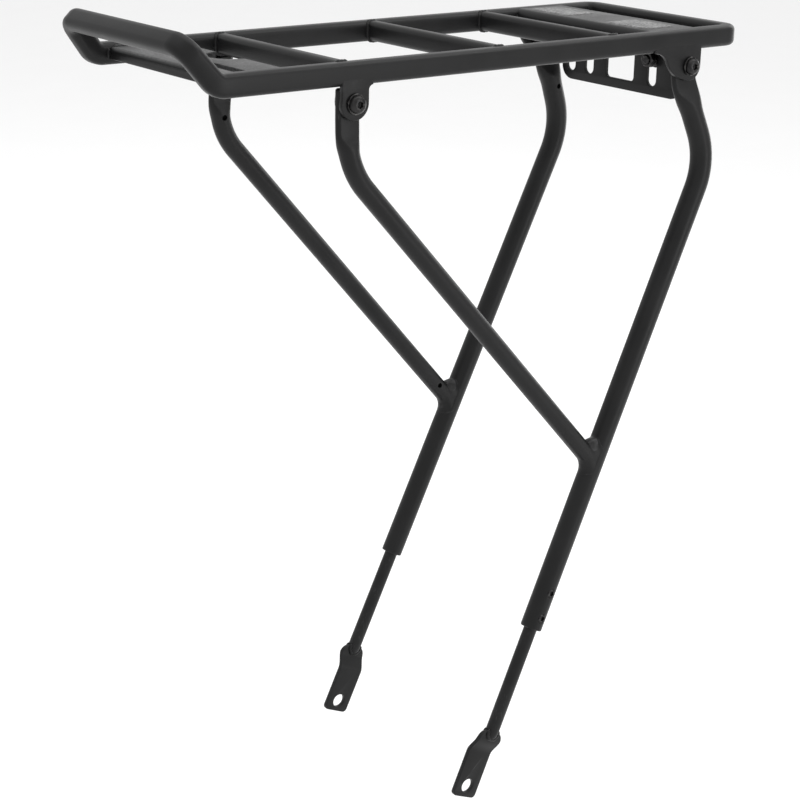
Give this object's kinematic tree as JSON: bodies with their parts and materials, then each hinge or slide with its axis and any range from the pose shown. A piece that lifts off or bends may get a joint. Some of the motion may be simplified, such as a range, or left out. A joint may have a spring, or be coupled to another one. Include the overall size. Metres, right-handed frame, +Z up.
{
  "type": "bicycle rear rack",
  "caption": "Rear bicycle luggage rack with a tubular platform, bolted legs joined by struts, a light plate and feet that slide in the legs.",
  "frame": {"origin": "centre of the underside of the front stay plate, on the centre line of its slots", "axes": "+X to the rear of the bicycle, +Y to the bicycle's right, +Z up"},
  "size_m": [0.3505, 0.139, 0.4308],
  "materials": {
    "powder_coat": "satin black powder coat",
    "black_steel": "black zinc, slightly glossy"
  },
  "bodies": {
    "rack": {"platform_loop": "powder_coat", "crossbar_front": "powder_coat", "crossbar_middle": "powder_coat", "crossbar_rear": "powder_coat", "front_stay_plate": "powder_coat", "rear_top_plate": "powder_coat", "light_plate": "powder_coat", "left_front_ear": "powder_coat", "left_rear_ear": "powder_coat", "left_leg_tube": "powder_coat", "left_front_strut": "powder_coat", "left_set_screw_1": "black_steel", "left_set_screw_2": "black_steel", "left_front_bolt": "black_steel", "left_front_washer": "black_steel", "left_front_nut": "black_steel", "left_rear_bolt": "black_steel", "left_rear_washer": "black_steel", "left_rear_nut": "black_steel", "left_light_screw": "black_steel", "left_light_washer": "black_steel", "left_light_nut": "black_steel", "right_front_ear": "powder_coat", "right_rear_ear": "powder_coat", "right_leg_tube": "powder_coat", "right_front_strut": "powder_coat", "right_set_screw_1": "black_steel", "right_set_screw_2": "black_steel", "right_front_bolt": "black_steel", "right_front_washer": "black_steel", "right_front_nut": "black_steel", "right_rear_bolt": "black_steel", "right_rear_washer": "black_steel", "right_rear_nut": "black_steel", "right_light_screw": "black_steel", "right_light_washer": "black_steel", "right_light_nut": "black_steel"},
    "left_foot": {"left_foot_rod": "powder_coat", "left_foot_tab": "powder_coat"},
    "right_foot": {"right_foot_rod": "powder_coat", "right_foot_tab": "powder_coat"}
  },
  "joints": [
    {"name": "left_foot_slide", "type": "slide", "parent": "rack", "child": "left_foot", "axis": [-0.4272, -0.0156, -0.904], "range_m": [-0.055, 0.03]},
    {"name": "right_foot_slide", "type": "slide", "parent": "rack", "child": "right_foot", "axis": [-0.4272, 0.0156, -0.904], "range_m": [-0.055, 0.03]}
  ]
}
